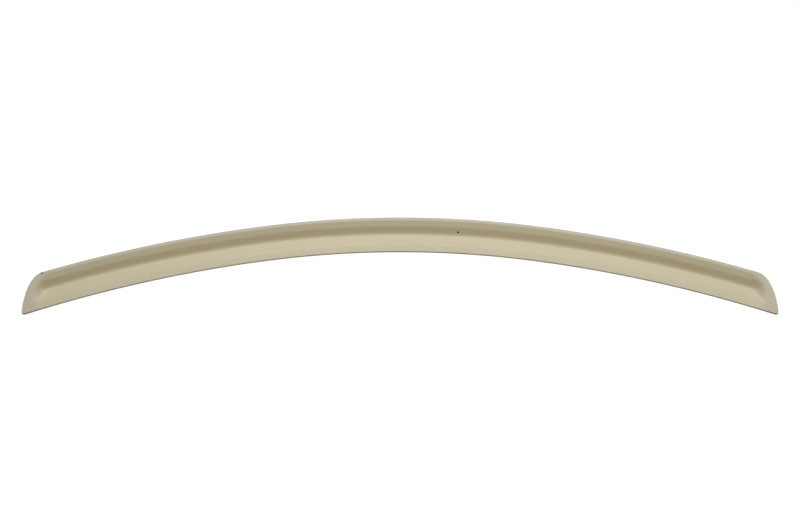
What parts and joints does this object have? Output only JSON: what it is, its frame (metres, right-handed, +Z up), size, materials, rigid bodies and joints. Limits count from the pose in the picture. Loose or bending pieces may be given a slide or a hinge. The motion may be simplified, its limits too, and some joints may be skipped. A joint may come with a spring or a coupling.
{
  "type": "lip spoiler",
  "caption": "Long bowed lip spoiler cast in one piece of unpainted beige polyurethane, with a thin leading edge, a concave cove, a raised rim and closed rounded ends.",
  "frame": {"origin": "on the flat bonding face, on the lip's centreline, halfway between the two adhesive recesses", "axes": "+X along the lip, +Y from the thin leading edge back to the raised rim, +Z up from the bonding face"},
  "size_m": [1.18, 0.1791, 0.0261],
  "materials": {
    "raw_polyurethane": "semi-matte, as cast and unpainted"
  },
  "bodies": {
    "root": {"lip_spoiler": "raw_polyurethane"}
  },
  "joints": []
}
